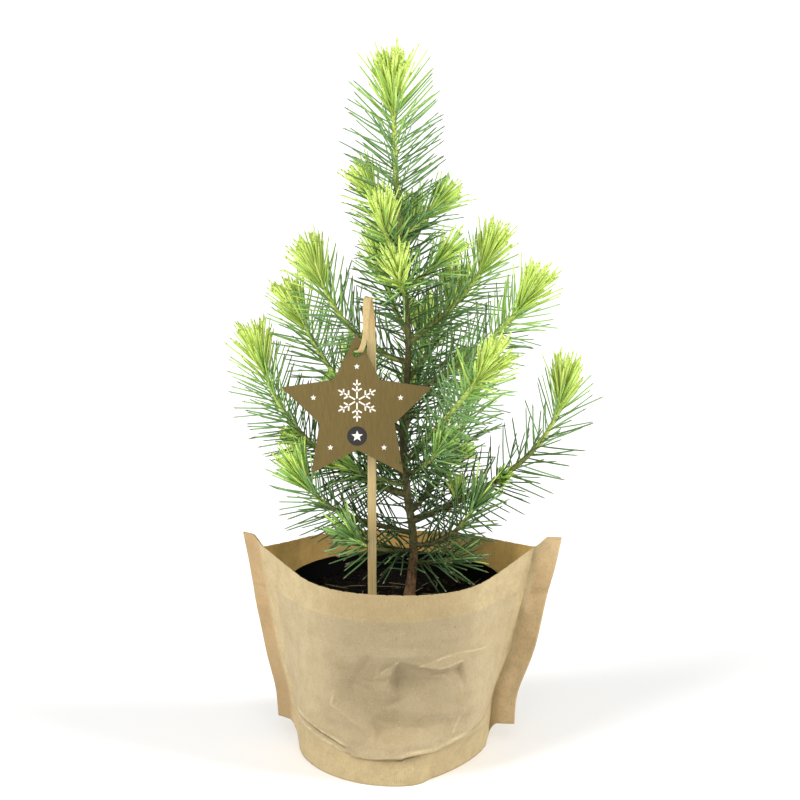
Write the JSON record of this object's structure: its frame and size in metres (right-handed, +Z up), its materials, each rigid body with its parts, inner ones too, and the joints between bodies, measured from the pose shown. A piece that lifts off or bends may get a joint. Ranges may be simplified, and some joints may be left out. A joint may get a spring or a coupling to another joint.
{
  "type": "potted pine tree",
  "caption": "Young bushy pine in a black nursery pot, stood in a kraft paper bag, with a star tag hung from the hook of a flat bamboo pick.",
  "frame": {"origin": "centre of the paper bag's flat underside, under the pot's axis", "axes": "+Z up along the pot's axis, +X towards the longer right-hand boughs, -Y towards the bag's front and the star tag"},
  "size_m": [0.19, 0.1363, 0.3572],
  "materials": {
    "bark": "matte",
    "green_bark": "matte",
    "needles": "matte",
    "pot_plastic": "satin",
    "soil": "matte",
    "kraft_paper": "matte",
    "bamboo": "satin",
    "star_board": "matte"
  },
  "bodies": {
    "root": {"bag_back_panel": "kraft_paper", "bag_front_panel": "kraft_paper", "bag_gusset": "kraft_paper", "bamboo_pick": "bamboo", "bough_back_crown": "green_bark", "bough_back_low_left": "green_bark", "bough_back_low_right": "green_bark", "bough_back_mid": "green_bark", "bough_back_upper_left": "green_bark", "bough_back_upper_right": "green_bark", "bough_front_crown": "green_bark", "bough_front_mid": "green_bark", "bough_left_back": "green_bark", "bough_left_crown": "green_bark", "bough_left_long": "green_bark", "bough_left_low": "green_bark", "bough_left_low_front": "green_bark", "bough_left_short": "green_bark", "bough_left_upper": "green_bark", "bough_right_crown": "green_bark", "bough_right_foot": "green_bark", "bough_right_front": "green_bark", "bough_right_inner": "green_bark", "bough_right_long": "green_bark", "bough_right_low": "green_bark", "bough_right_mid": "green_bark", "bough_right_upper": "green_bark", "bough_top_right": "green_bark", "needles_back_crown": "needles", "needles_back_low_left": "needles", "needles_back_low_right": "needles", "needles_back_mid": "needles", "needles_back_upper_left": "needles", "needles_back_upper_right": "needles", "needles_front_crown": "needles", "needles_front_mid": "needles", "needles_leader": "needles", "needles_left_back": "needles", "needles_left_crown": "needles", "needles_left_long": "needles", "needles_left_low": "needles", "needles_left_low_front": "needles", "needles_left_short": "needles", "needles_left_upper": "needles", "needles_right_crown": "needles", "needles_right_foot": "needles", "needles_right_front": "needles", "needles_right_inner": "needles", "needles_right_long": "needles", "needles_right_low": "needles", "needles_right_mid": "needles", "needles_right_upper": "needles", "needles_top_right": "needles", "nursery_pot": "pot_plastic", "potting_soil": "soil", "star_tag": "star_board", "trunk": "bark"}
  },
  "joints": []
}
